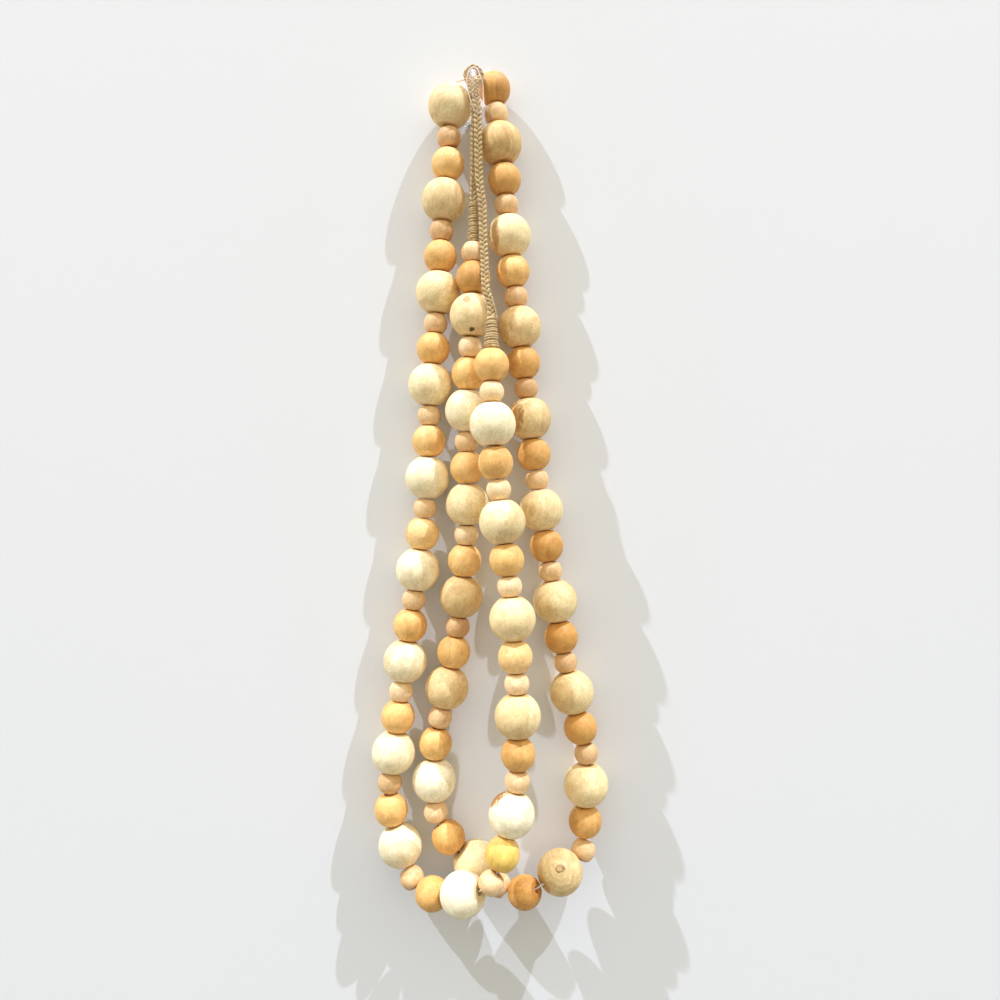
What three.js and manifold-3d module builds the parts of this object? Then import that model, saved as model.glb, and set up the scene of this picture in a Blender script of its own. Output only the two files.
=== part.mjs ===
// Wooden bead garland with braided jute end loops, hanging folded on a clear wall hook.
// Millimetres, +Z up. The wall is the plane y = 0 and the garland hangs in front of it, at negative y.
// The origin is the middle of the hook's back face, where it meets the wall.
import * as THREE from "three";
import { mergeVertices } from "three/addons/utils/BufferGeometryUtils.js";
import Module from "manifold-3d";

const wasm = await Module();
wasm.setup();

// Driving sizes
const clearance = 0.3; // between pieces that touch on the real thing
// face: the flat at each bored end; its rim is eased by rimRounding
const beadSizes = {
  medium: { diameter: 19.1, length: 17.6, face: 8.8, sides: 9, arcSteps: 3 },
  small: { diameter: 13.7, length: 11.1, face: 8.2, sides: 8, arcSteps: 2 },
  large: { diameter: 25.1, length: 23.2, face: 10.4, sides: 10, arcSteps: 3 },
};
const beadOrder = ["medium", "small", "large"];
const beadsBeforeHook = 45; // from the loop A end up to the hook
const beadsAfterHook = 50; // from the hook down to the loop B end
const rimRounding = 0.9;
const sizeSpread = 0.012; // hand-turned beads differ by this share
const beadsPerNode = 3;
// reach: how far a link sits inside a bead; rise: how far the bare cord stands straight out of a bore;
// lead: where it is back on its route
const cord = { diameter: 1.2, sides: 6, reach: 2, rise: 1.8, lead: 4.5 };
const slackLeft = 25.5; // route length from the top of the peg to the middle of the first bead on the left
const slackRight = 21.4;
const marchStep = 0.05;

// crestGap: from the top of the peg up to the eye's crest, which its straight steps come below
// rise: how far a stem goes straight on from its collar
const braid = {
  eyeDiameter: 3, stemDepth: 2.8, footWidth: 4.4, rise: 6, sides: 8, crestGap: 1.2, samples: { stem: 4, eye: 8 },
};
const collars = {
  a: { topDiameter: 5.8, endDiameter: 9, length: 18 },
  b: { topDiameter: 6, endDiameter: 6.6, length: 23 },
};
const collarSides = 12;

const plate = { width: 13, height: 30, thickness: 2, corner: 4 };
const peg = { radius: 2, height: 5.2, sides: 14 };
const guard = { out: 25.9, thickness: 2 };

// Where the threading cord runs, from the collar of loop A to the collar of loop B.
// Columns: x, distance out from the wall, z.
const strandRoute = [
  [10, 35.5, -136],
  [10.5, 37.4, -163],
  [10.8, 39.1, -194.5],
  [16.5, 38.5, -247.5],
  [22, 38.5, -299.5],
  [24.8, 38.5, -353.5],
  [24.3, 38.5, -390.5],
  [21, 39.2, -407.5],
  [15.9, 42, -426.5],
  [10.5, 46, -441.5],
  [-4.4, 39.8, -447.8],
  [-23.8, 26.5, -455.5],
  [-36, 16.3, -450],
  [-41.1, 13.8, -432],
  [-48.8, 13.4, -411.5],
  [-46, 13.2, -378.5],
  [-39.5, 13.2, -326],
  [-32, 13.2, -272.5],
  [-26.5, 13.2, -221],
  [-25.2, 13.2, -169],
  [-20.5, 13.2, -115.5],
  [-17.5, 13.2, -61.5],
  [-13.6, 13.2, -26],
  [-15.6, 13.2, -17],
  [-12.3, 13.3, 3.5],
  [-6.5, 12.5, 8],
  [0, 11.5, 8.4],
  [4, 11.2, 11.2],
  [7.8, 10.9, 13.5],
  [10.7, 10.8, 11.6],
  [12.7, 11, -6.5],
  [12.5, 11.8, -13],
  [15.5, 13.6, -28.7],
  [20.2, 13.2, -82.2],
  [26.3, 13.2, -135.5],
  [32, 13.2, -188],
  [38.5, 13.2, -239],
  [46.6, 13.2, -291],
  [55.8, 13.2, -344],
  [65, 13.2, -381],
  [64.6, 13.2, -398],
  [63.2, 12.6, -419],
  [64.4, 12.8, -436.5],
  [48.8, 24.5, -441],
  [32.5, 28, -453],
  [17.2, 16, -457.5],
  [4.4, 13.2, -442.5],
  [-11.5, 17, -431],
  [-21.7, 14, -416.5],
  [-22.5, 13.2, -397],
  [-22.5, 13.2, -372],
  [-16, 13.2, -345.5],
  [-7.4, 14, -292.5],
  [-3.6, 16.9, -238.5],
  [-4, 18.7, -186],
  [-0.8, 23.8, -133],
  [0, 23, -112],
  [-0.1, 21.8, -96.5],
  [0.2, 20.8, -67],
];
const pegTopRow = 26;

// Each jute loop is a thin braid round the peg, whose two ends are braided on together as a thicker
// stem down to the collar.
// Columns: x, distance out from the wall, z, width of the stem. The rows go up from above the collar.
const stemRoutes = {
  a: [
    [7.2, 34, -117.5, 4.7],
    [6.3, 29.3, -98.5, 4.8],
    [5.4, 26, -81, 4.8],
    [5.1, 25, -68, 4.8],
    [3.8, 24.5, -58, 4.8],
    [3, 24.2, -46, 4.8],
    [2.7, 24.1, -28, 4.8],
    [2, 24, -12, 4.8],
    [0.9, 24, -5, 6],
  ],
  b: [
    [0.4, 20.8, -52, 4.8],
    [0.6, 20.8, -28, 4.8],
    [0.4, 20.6, -12, 4.8],
    [0.4, 20.6, -5, 6],
  ],
};
// Columns: x, distance out from the wall, z, half the spacing of the eye's two sides.
const eyeRoutes = {
  a: [
    [0.8, 24, -7.5, 1.5],
    [0.4, 24, -3.5, 1.5],
    [0, 23.9, 0.8, 1.75],
    [0, 23.5, 3.4, 3.45],
    [0, 23.2, 6, 4.35],
  ],
  b: [
    [0.5, 20.6, -7.5, 1.2],
    [0.3, 20.6, -3.5, 1.5],
    [0, 20.2, 1, 2.1],
    [0, 19.7, 6, 4],
  ],
};

// The clear guard's outline, from its round tip above the peg down to its pointed foot.
// Columns: x, z.
const guardOutline = [
  [0.3, 8.1],
  [2.6, 6.9],
  [3.9, 3.6],
  [5.5, -0.5],
  [6, -8],
  [6.3, -13.6],
  [5.4, -15.4],
  [3, -17.6],
  [0.6, -16],
  [-0.5, -14.2],
  [-2, -9.5],
  [-3.2, -4.5],
  [-3.9, 0],
  [-3.3, 4],
  [-2, 6.9],
];

const finishes = {
  wood: new THREE.MeshStandardMaterial({ color: 0xe0bd86, roughness: 0.5, metalness: 0 }),
  jute: new THREE.MeshStandardMaterial({ color: 0xb39a70, roughness: 0.95, metalness: 0 }),
  clearPlastic: new THREE.MeshStandardMaterial({ color: 0xe9eeee, roughness: 0.15, metalness: 0 }),
};

const routePoint = ([x, out, z]) => new THREE.Vector3(x, -out, z);

function solidFrom(geometry, matrix = new THREE.Matrix4()) {
  const bare = geometry.clone();
  bare.deleteAttribute("normal");
  bare.deleteAttribute("uv");
  const merged = mergeVertices(bare, 1e-4);
  return new wasm.Manifold(new wasm.Mesh({
    numProp: 3,
    vertProperties: new Float32Array(merged.attributes.position.array),
    triVerts: new Uint32Array(merged.index.array),
  })).transform(matrix.elements);
}

function geometryFrom(solid) {
  const mesh = solid.getMesh();
  const geometry = new THREE.BufferGeometry();
  geometry.setAttribute("position", new THREE.BufferAttribute(mesh.vertProperties, 3));
  geometry.setIndex(new THREE.BufferAttribute(mesh.triVerts, 1));
  geometry.computeVertexNormals();
  return geometry;
}

function named(name, geometry, finish) {
  const mesh = new THREE.Mesh(geometry, finishes[finish]);
  mesh.name = name;
  return mesh;
}

function circleShape(radius, sides) {
  const corners = [];
  for (let i = 0; i < sides; i += 1) {
    const angle = (2 * Math.PI * i) / sides;
    corners.push(new THREE.Vector2(radius * Math.cos(angle), radius * Math.sin(angle)));
  }
  return new THREE.Shape(corners);
}

// Turns a solid made along +Y so that it points along axis, with its own origin at place.
function alongAxis(place, axis) {
  const turn = new THREE.Quaternion().setFromUnitVectors(new THREE.Vector3(0, 1, 0), axis);
  return new THREE.Matrix4().compose(place, turn, new THREE.Vector3(1, 1, 1));
}

// The threading cord's route, measured along its length.
const routeCurve = new THREE.CatmullRomCurve3(strandRoute.map(routePoint), false, "centripetal");
const routeSamples = 40; // for each row of the table
const routePoints = routeCurve.getPoints((strandRoute.length - 1) * routeSamples);
const routeLengths = [0];
for (let i = 1; i < routePoints.length; i += 1) {
  routeLengths.push(routeLengths[i - 1] + routePoints[i].distanceTo(routePoints[i - 1]));
}
const pegTop = routeLengths[pegTopRow * routeSamples];

function alongRoute(length) {
  let low = 0;
  let high = routeLengths.length - 1;
  while (high - low > 1) {
    const middle = (low + high) >> 1;
    if (routeLengths[middle] <= length) low = middle;
    else high = middle;
  }
  const share = (length - routeLengths[low]) / (routeLengths[high] - routeLengths[low]);
  return routePoints[low].clone().lerp(routePoints[high], share);
}

// A bead on the route: the cord runs straight through it, from one bored end to the other.
function beadAt(serial, length) {
  const size = beadSizes[beadOrder[(serial - 1) % beadOrder.length]];
  const scale = 1 + sizeSpread * Math.sin(2.3 * serial);
  const radius = (size.diameter / 2) * scale;
  const half = (size.length / 2) * scale;
  const start = alongRoute(length - half);
  const end = alongRoute(length + half);
  const axis = end.clone().sub(start).normalize();
  const middle = start.clone().add(end).multiplyScalar(0.5);
  // the side is an arc of an ellipse that is taller than the bead, so that it meets the face's rim
  const rim = Math.asin(((size.face / 2) * scale) / radius);
  const rise = half / Math.cos(rim);
  const flat = (size.face / 2) * scale - rimRounding;
  const shoulder = rim + rimRounding / radius;
  return { serial, size, radius, half, rise, flat, shoulder, axis, middle };
}

// How far a bead reaches from its middle along a direction: as far as its flat end, its rim or its side does.
function reachOf(bead, direction) {
  const tilt = Math.acos(Math.min(1, Math.abs(bead.axis.dot(direction))));
  const [along, aside] = [Math.cos(tilt), Math.sin(tilt)];
  const flatReach = bead.half * along + bead.flat * aside;
  const shoulderReach = bead.rise * Math.cos(bead.shoulder) * along + bead.radius * Math.sin(bead.shoulder) * aside;
  const sideReach = Math.hypot(bead.rise * along, bead.radius * aside);
  const touchesSide = (bead.rise * along) / sideReach < Math.cos(bead.shoulder);
  return Math.max(flatReach, touchesSide ? sideReach : shoulderReach);
}

// The gap between two beads is the widest that a few likely directions show.
function gapBetween(one, other) {
  const between = other.middle.clone().sub(one.middle);
  const straight = between.clone().normalize().multiplyScalar(Math.sign(between.dot(one.axis)));
  const sum = one.axis.clone().add(other.axis).normalize();
  const directions = [straight, sum, one.axis, other.axis, straight.clone().add(sum).normalize()];
  return Math.max(...directions.map((direction) => (
    Math.abs(between.dot(direction)) - reachOf(one, direction) - reachOf(other, direction)
  )));
}

// Slides each bead up to the one before it, so that the beads open up round a bend as real ones do.
function threadBeads(serials, firstLength, way) {
  const beads = [];
  let length = firstLength;
  for (const serial of serials) {
    let bead = beadAt(serial, length);
    while (beads.length && gapBetween(beads.at(-1), bead) < clearance) {
      length += way * marchStep;
      bead = beadAt(serial, length);
    }
    bead.length = length;
    beads.push(bead);
  }
  return beads;
}

const count = beadsBeforeHook + beadsAfterHook;
const serialsBefore = Array.from({ length: beadsBeforeHook }, (_, i) => beadsBeforeHook - i);
const serialsAfter = Array.from({ length: beadsAfterHook }, (_, i) => beadsBeforeHook + 1 + i);
const beads = [
  ...threadBeads(serialsBefore, pegTop - slackLeft, -1).reverse(),
  ...threadBeads(serialsAfter, pegTop + slackRight, 1),
];

// A turned bead: a ball cut flat at each bored end, with an eased rim between.
function beadSolid(bead) {
  const profile = [new THREE.Vector2(0, -bead.half), new THREE.Vector2(bead.flat, -bead.half)];
  for (let i = 0; i <= bead.size.arcSteps; i += 1) {
    const angle = bead.shoulder + ((Math.PI - 2 * bead.shoulder) * i) / bead.size.arcSteps;
    profile.push(new THREE.Vector2(bead.radius * Math.sin(angle), -bead.rise * Math.cos(angle)));
  }
  profile.push(new THREE.Vector2(bead.flat, bead.half), new THREE.Vector2(0, bead.half));
  return solidFrom(new THREE.LatheGeometry(profile, bead.size.sides), alongAxis(bead.middle, bead.axis));
}

// The short stretch of cord that shows between two neighbours.
function linkSolid(one, other) {
  const from = one.middle.clone().addScaledVector(one.axis, one.half - cord.reach);
  const to = other.middle.clone().addScaledVector(other.axis, cord.reach - other.half);
  const axis = to.clone().sub(from);
  const link = new THREE.CylinderGeometry(cord.diameter / 2, cord.diameter / 2, axis.length(), cord.sides);
  return solidFrom(link, alongAxis(from.clone().add(to).multiplyScalar(0.5), axis.normalize()));
}

function beadNodes() {
  const nodes = [];
  for (let first = 0; first < count; first += beadsPerNode) {
    const group = beads.slice(first, first + beadsPerNode);
    let solid = beadSolid(group[0]);
    for (let i = 1; i < group.length; i += 1) {
      solid = solid.add(linkSolid(group[i - 1], group[i])).add(beadSolid(group[i]));
    }
    const name = `beads_${String(nodes.length + 1).padStart(2, "0")}`;
    nodes.push(named(name, geometryFrom(solid), "wood"));
  }
  return nodes;
}

// The bare stretch of cord over the peg, leaving each neighbouring bead straight out of its bore.
function cordOverHook() {
  const left = beads[beadsBeforeHook - 1];
  const right = beads[beadsBeforeHook];
  const aboveLeft = (rise) => left.middle.clone().addScaledVector(left.axis, left.half + rise);
  const aboveRight = (rise) => right.middle.clone().addScaledVector(right.axis, -right.half - rise);
  const points = [aboveLeft(clearance), aboveLeft(cord.rise)];
  const first = left.length + left.half + cord.lead;
  const last = right.length - right.half - cord.lead;
  const between = 8;
  for (let i = 0; i <= between; i += 1) {
    points.push(alongRoute(first + ((last - first) * i) / between));
  }
  points.push(aboveRight(cord.rise), aboveRight(clearance));
  const geometry = new THREE.ExtrudeGeometry(circleShape(cord.diameter / 2, cord.sides), {
    steps: 18,
    extrudePath: new THREE.CatmullRomCurve3(points, false, "centripetal"),
  });
  return named("cord_over_hook", geometry, "jute");
}

// A collar goes straight on from the end bead; outward is its way along the bead's axis.
function collarPlace(key, bead, outward) {
  const axis = bead.axis.clone().multiplyScalar(outward);
  const start = bead.middle.clone().addScaledVector(axis, bead.half + clearance);
  return { start, axis, end: start.clone().addScaledVector(axis, collars[key].length) };
}

// Sweeps an oval along a curve. Its width lies flat to the wall and its depth points out from it.
function sweptOval(curve, rows, samples, widthOf, depth) {
  const steps = (rows - 1) * samples;
  const out = new THREE.Vector3(0, -1, 0);
  const points = [];
  const faces = [];
  for (let i = 0; i <= steps; i += 1) {
    const middle = curve.getPoint(i / steps);
    const tangent = curve.getTangent(i / steps);
    const across = tangent.clone().cross(out).normalize();
    const lift = tangent.clone().cross(across);
    for (let j = 0; j < braid.sides; j += 1) {
      const angle = (2 * Math.PI * j) / braid.sides;
      const point = middle.clone()
        .addScaledVector(across, (widthOf(i / samples) / 2) * Math.cos(angle))
        .addScaledVector(lift, (depth / 2) * Math.sin(angle));
      points.push(...point.toArray());
      if (i === steps) continue;
      const here = i * braid.sides + j;
      const next = i * braid.sides + ((j + 1) % braid.sides);
      faces.push(here, next, next + braid.sides, here, next + braid.sides, here + braid.sides);
    }
  }
  const last = steps * braid.sides;
  for (let j = 1; j < braid.sides - 1; j += 1) {
    faces.push(0, j + 1, j, last, last + j, last + j + 1);
  }
  const geometry = new THREE.BufferGeometry();
  geometry.setAttribute("position", new THREE.Float32BufferAttribute(points, 3));
  geometry.setIndex(faces);
  return solidFrom(geometry);
}

function stem(foot, table) {
  const straight = [clearance, braid.rise].map((rise) => {
    const { x, y, z } = foot.end.clone().addScaledVector(foot.axis, rise);
    return [x, -y, z, braid.footWidth];
  });
  const rows = [...straight, ...table];
  const curve = new THREE.CatmullRomCurve3(rows.map(routePoint), false, "centripetal");
  const widthOf = (place) => {
    const row = Math.min(Math.floor(place), rows.length - 2);
    return THREE.MathUtils.lerp(rows[row][3], rows[row + 1][3], place - row);
  };
  return sweptOval(curve, rows.length, braid.samples.stem, widthOf, braid.stemDepth);
}

// The eye as one path: up its left side, over the peg and down its right side.
function eye(rows) {
  const side = (sign) => rows.map(([x, out, z, spread]) => routePoint([x + sign * spread, out, z]));
  const crestOut = rows.at(-1)[1];
  const crestHeight = peg.height + peg.radius + braid.crestGap + braid.eyeDiameter / 2;
  const points = [...side(-1), routePoint([0, crestOut, crestHeight]), ...side(1).reverse()];
  const curve = new THREE.CatmullRomCurve3(points, false, "centripetal");
  return sweptOval(curve, points.length, braid.samples.eye, () => braid.eyeDiameter, braid.eyeDiameter);
}

function endLoop(key, bead, outward) {
  const solid = stem(collarPlace(key, bead, outward), stemRoutes[key]).add(eye(eyeRoutes[key]));
  return named(`loop_${key}`, geometryFrom(solid), "jute");
}

// The wound collar between the last bead and the braid.
function collar(key, bead, outward) {
  const size = collars[key];
  const { start, axis } = collarPlace(key, bead, outward);
  const profile = [
    new THREE.Vector2(0, 0),
    new THREE.Vector2(size.endDiameter / 2, 0),
    new THREE.Vector2(size.topDiameter / 2, size.length),
    new THREE.Vector2(0, size.length),
  ];
  const geometry = new THREE.LatheGeometry(profile, collarSides);
  return named(`collar_${key}`, geometryFrom(solidFrom(geometry, alongAxis(start, axis))), "jute");
}

function plateShape() {
  const side = plate.width / 2;
  const end = plate.height / 2;
  const shape = new THREE.Shape();
  shape.moveTo(side, plate.corner - end);
  shape.lineTo(side, end - plate.corner);
  shape.absarc(side - plate.corner, end - plate.corner, plate.corner, 0, Math.PI / 2, false);
  shape.absarc(plate.corner - side, end - plate.corner, plate.corner, Math.PI / 2, Math.PI, false);
  shape.absarc(plate.corner - side, plate.corner - end, plate.corner, Math.PI, 1.5 * Math.PI, false);
  shape.absarc(side - plate.corner, plate.corner - end, plate.corner, 1.5 * Math.PI, 2 * Math.PI, false);
  return shape;
}

function guardShape() {
  const corners = guardOutline.map(([x, z]) => new THREE.Vector2(x, z));
  return new THREE.Shape(corners);
}

// Stands a shape drawn in x and z up in front of the wall, filling the depth from out to out + thickness.
function upright(shape, out, thickness, curveSegments) {
  const geometry = new THREE.ExtrudeGeometry(shape, { depth: thickness, bevelEnabled: false, curveSegments });
  return solidFrom(geometry, new THREE.Matrix4().makeRotationX(Math.PI / 2).setPosition(0, -out, 0));
}

function hook() {
  const pegLength = guard.out + guard.thickness / 2 - plate.thickness / 2;
  const rod = new THREE.CylinderGeometry(peg.radius, peg.radius, pegLength, peg.sides);
  const rodPlace = new THREE.Matrix4().makeTranslation(0, -(plate.thickness + pegLength) / 2, peg.height);
  const solid = upright(plateShape(), 0, plate.thickness, 4)
    .add(solidFrom(rod, rodPlace))
    .add(upright(guardShape(), guard.out, guard.thickness, 7));
  return named("hook", geometryFrom(solid), "clearPlastic");
}

const garland = new THREE.Group();
garland.add(
  ...beadNodes(),
  cordOverHook(),
  collar("a", beads[0], -1),
  collar("b", beads[count - 1], 1),
  endLoop("a", beads[0], -1),
  endLoop("b", beads[count - 1], 1),
  hook(),
);

export default garland;
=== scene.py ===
# Wooden bead garland with braided jute end loops, hanging folded over a clear wall hook.
# Lengths are worked out in millimetres and turned to metres where a mesh is made. +Z is up,
# the wall is at y = 0 and everything hangs in front of it, towards -Y.
import math
import random

import bmesh
import bpy
import numpy as np
from mathutils import Matrix, Vector


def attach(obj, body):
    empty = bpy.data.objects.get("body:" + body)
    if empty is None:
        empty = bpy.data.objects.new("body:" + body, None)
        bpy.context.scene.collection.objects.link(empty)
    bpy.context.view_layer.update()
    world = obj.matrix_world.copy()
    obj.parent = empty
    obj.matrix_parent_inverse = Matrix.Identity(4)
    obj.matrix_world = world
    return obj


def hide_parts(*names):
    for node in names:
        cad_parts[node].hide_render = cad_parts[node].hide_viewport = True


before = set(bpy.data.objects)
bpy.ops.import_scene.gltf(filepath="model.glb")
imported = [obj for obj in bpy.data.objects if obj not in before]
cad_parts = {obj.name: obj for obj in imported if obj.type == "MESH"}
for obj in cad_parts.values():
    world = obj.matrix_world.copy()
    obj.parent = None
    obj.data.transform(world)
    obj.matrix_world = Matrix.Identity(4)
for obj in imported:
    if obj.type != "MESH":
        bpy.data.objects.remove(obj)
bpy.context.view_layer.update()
mm = 0.001
scene = bpy.context.scene
scene.view_settings.view_transform = "Standard"
print("frame loaded")

camera = {
    "place": (0.015, -0.5, -0.234),  # metres: half a metre out, level with the middle of the garland
    "lens": 30.48,  # mm
    "nearest": 0.01,  # metres, closer than which nothing is drawn
}


def makeCamera():
    data = bpy.data.cameras.new("camera")
    data.lens = camera["lens"]
    data.clip_start = camera["nearest"]
    made = bpy.data.objects.new("camera", data)
    made.location = camera["place"]
    made.rotation_euler = (math.radians(90), 0, 0)
    scene.collection.objects.link(made)
    scene.camera = made


makeCamera()
print("camera placed")


def linear(hexCode):
    # an sRGB hex code as the linear red, green, blue and alpha that a node works with
    shares = [int(hexCode[i:i + 2], 16) / 255 for i in (1, 3, 5)]
    return [s / 12.92 if s <= 0.04045 else ((s + 0.055) / 1.055) ** 2.4 for s in shares] + [1]


def add(tree, kind, links=None, **settings):
    # One node: its settings, then its inputs. Each is a value, or the socket that feeds it, or a node whose
    # first output does.
    node = tree.nodes.new("ShaderNode" + kind)
    for name, value in settings.items():
        setattr(node, name, value)
    for name, value in (links or {}).items():
        if isinstance(value, bpy.types.Node):
            value = value.outputs[0]
        if isinstance(value, bpy.types.NodeSocket):
            tree.links.new(value, node.inputs[name])
        else:
            node.inputs[name].default_value = value
    return node


def newMaterial(name):
    made = bpy.data.materials.new(name)
    made.use_nodes = True
    made.node_tree.nodes.clear()
    return made, made.node_tree


toRoom = np.array((0.0, -1.0, 0.0))  # straight out from the wall


def unit(vectors):
    return vectors / np.linalg.norm(vectors, axis=-1, keepdims=True)


def ringQuads(rings, sides, closed=False):
    # the faces of a skin over rings of points, and over the last ring back to the first if it is closed
    ring, corner = np.meshgrid(np.arange(rings if closed else rings - 1), np.arange(sides), indexing="ij")
    ring, corner = ring.ravel(), corner.ravel()
    following, beside = (ring + 1) % rings * sides, (corner + 1) % sides
    ring = ring * sides
    return np.stack([ring + corner, ring + beside, following + beside, following + corner], axis=1)


def meshFrom(name, points, faces, material, vectors=None, colours=None):
    # faces: a row of corner numbers for each face; vectors and colours: named values for each point
    mesh = bpy.data.meshes.new(name)
    mesh.from_pydata((np.asarray(points) * mm).tolist(), [], [list(map(int, face)) for face in faces])
    mesh.polygons.foreach_set("use_smooth", [True] * len(mesh.polygons))
    for key, values in (vectors or {}).items():
        mesh.attributes.new(key, "FLOAT_VECTOR", "POINT").data.foreach_set("vector", np.ravel(values))
    for key, values in (colours or {}).items():
        mesh.attributes.new(key, "FLOAT_COLOR", "POINT").data.foreach_set("color", np.ravel(values))
    mesh.materials.append(material)
    mesh.update()
    made = bpy.data.objects.new(name, mesh)
    scene.collection.objects.link(made)
    return made


def smoothPath(rows, samples):
    # a centripetal Catmull-Rom curve through the rows, with a number of samples for each row
    rows = np.asarray(rows, float)
    rows = np.vstack([2 * rows[0] - rows[1], rows, 2 * rows[-1] - rows[-2]])
    share = (np.arange(samples) / samples)[:, None]
    parts = []
    for a, b, c, d in zip(rows, rows[1:], rows[2:], rows[3:]):
        before, here, after = (np.linalg.norm(q - p) ** 0.5 for p, q in ((a, b), (b, c), (c, d)))
        leave = ((b - a) / before - (c - a) / (before + here) + (c - b) / here) * here
        arrive = ((c - b) / here - (d - b) / (here + after) + (d - c) / after) * here
        square, cube = 3 * (c - b) - 2 * leave - arrive, 2 * (b - c) + leave + arrive
        parts.append(b + share * (leave + share * (square + share * cube)))
    return np.vstack(parts + [rows[-2:-1]])


def lengthsAlong(path):
    return np.concatenate([[0], np.cumsum(np.linalg.norm(np.diff(path, axis=0), axis=1))])


def evenly(path, step):
    lengths = lengthsAlong(path)
    at = np.linspace(0, lengths[-1], max(2, round(lengths[-1] / step)) + 1)
    return np.stack([np.interp(at, lengths, path[:, k]) for k in range(3)], axis=1)


# Where the threading cord runs, from the collar of loop A to the collar of loop B.
# Columns: x, distance out from the wall, z.
strandRoute = [
    (10, 35.5, -136),
    (10.5, 37.4, -163),
    (10.8, 39.1, -194.5),
    (16.5, 38.5, -247.5),
    (22, 38.5, -299.5),
    (24.8, 38.5, -353.5),
    (24.3, 38.5, -390.5),
    (21, 39.2, -407.5),
    (15.9, 42, -426.5),
    (10.5, 46, -441.5),
    (-4.4, 39.8, -447.8),
    (-23.8, 26.5, -455.5),
    (-36, 16.3, -450),
    (-41.1, 13.8, -432),
    (-48.8, 13.4, -411.5),
    (-46, 13.2, -378.5),
    (-39.5, 13.2, -326),
    (-32, 13.2, -272.5),
    (-26.5, 13.2, -221),
    (-25.2, 13.2, -169),
    (-20.5, 13.2, -115.5),
    (-17.5, 13.2, -61.5),
    (-13.6, 13.2, -26),
    (-15.6, 13.2, -17),
    (-12.3, 13.3, 3.5),
    (-6.5, 12.5, 8),
    (0, 11.5, 8.4),
    (4, 11.2, 11.2),
    (7.8, 10.9, 13.5),
    (10.7, 10.8, 11.6),
    (12.7, 11, -6.5),
    (12.5, 11.8, -13),
    (15.5, 13.6, -28.7),
    (20.2, 13.2, -82.2),
    (26.3, 13.2, -135.5),
    (32, 13.2, -188),
    (38.5, 13.2, -239),
    (46.6, 13.2, -291),
    (55.8, 13.2, -344),
    (65, 13.2, -381),
    (64.6, 13.2, -398),
    (63.2, 12.6, -419),
    (64.4, 12.8, -436.5),
    (48.8, 24.5, -441),
    (32.5, 28, -453),
    (17.2, 16, -457.5),
    (4.4, 13.2, -442.5),
    (-11.5, 17, -431),
    (-21.7, 14, -416.5),
    (-22.5, 13.2, -397),
    (-22.5, 13.2, -372),
    (-16, 13.2, -345.5),
    (-7.4, 14, -292.5),
    (-3.6, 16.9, -238.5),
    (-4, 18.7, -186),
    (-0.8, 23.8, -133),
    (0, 23, -112),
    (-0.1, 21.8, -96.5),
    (0.2, 20.8, -67),
]

strand = {
    "clearance": 0.3,
    "order": ["medium", "small", "large"],
    "before": 45,  # beads from loop A up to the hook
    "after": 50,  # beads from the hook down to loop B
    "sizeSpread": 0.012,  # hand-turned beads differ by this share
    "sizeWave": 2.3,  # how fast the sizes go up and down along the string
    "pegTopRow": 26,
    "slackLeft": 25.5,  # route length from the top of the peg to the middle of the first bead
    "slackRight": 21.4,
    "marchStep": 0.05,
    "firstJump": 0.8,  # how much of the way to the next bead is skipped before it is slid up
    "rimRounding": 0.9,
    "boreLip": 0.3,  # how far the bore's edge is eased
    "endGrainAndShadeFrom": 0.995,  # of the half length, less the lip: nearer the end than that is darkened, partly as end grain and partly as painted shade between beads
}

beadSizes = {
    # face: the flat at each bored end
    "medium": {"diameter": 19.1, "length": 17.6, "face": 8.8, "bore": 3.6, "sides": 46, "arcSteps": 18},
    "small": {"diameter": 13.7, "length": 11.1, "face": 8.2, "bore": 3.2, "sides": 40, "arcSteps": 14},
    "large": {"diameter": 25.1, "length": 23.2, "face": 10.4, "bore": 4, "sides": 54, "arcSteps": 22},
}


def routeRows(rows):
    # from columns of x, distance out and z to points
    rows = np.array(rows, float)
    return np.stack([rows[:, 0], -rows[:, 1], rows[:, 2]], axis=1)


routeSamples = 40
routePoints = smoothPath(routeRows(strandRoute), routeSamples)
routeLengths = lengthsAlong(routePoints)
pegTop = routeLengths[strand["pegTopRow"] * routeSamples]


def alongRoute(length):
    return np.array([np.interp(length, routeLengths, routePoints[:, k]) for k in range(3)])


def beadAt(serial, length):
    # a bead on the route: the cord runs straight through it, from one bored end to the other
    kind = strand["order"][(serial - 1) % 3]
    scale = 1 + strand["sizeSpread"] * math.sin(strand["sizeWave"] * serial)
    radius, half = beadSizes[kind]["diameter"] / 2 * scale, beadSizes[kind]["length"] / 2 * scale
    face = beadSizes[kind]["face"] / 2 * scale
    start, end = alongRoute(length - half), alongRoute(length + half)
    rim = math.asin(face / radius)
    return {
        "serial": serial, "kind": kind, "radius": radius, "half": half, "length": length,
        "rise": half / math.cos(rim),  # the side is an arc of an ellipse a little taller than the bead
        "flat": face - strand["rimRounding"], "rim": rim, "shoulder": rim + strand["rimRounding"] / radius,
        "axis": unit(end - start), "middle": (start + end) / 2,
    }


def reachOf(bead, direction):
    # how far a bead reaches from its middle: as far as its flat end, its rim or its side does
    along = min(1, abs(bead["axis"] @ direction))
    aside = math.sqrt(1 - along ** 2)
    radius, rise, shoulder = bead["radius"], bead["rise"], bead["shoulder"]
    flatReach = bead["half"] * along + bead["flat"] * aside
    sideReach = math.hypot(rise * along, radius * aside)
    if rise * along / sideReach >= math.cos(shoulder):
        sideReach = rise * math.cos(shoulder) * along + radius * math.sin(shoulder) * aside
    return max(flatReach, sideReach)


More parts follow.
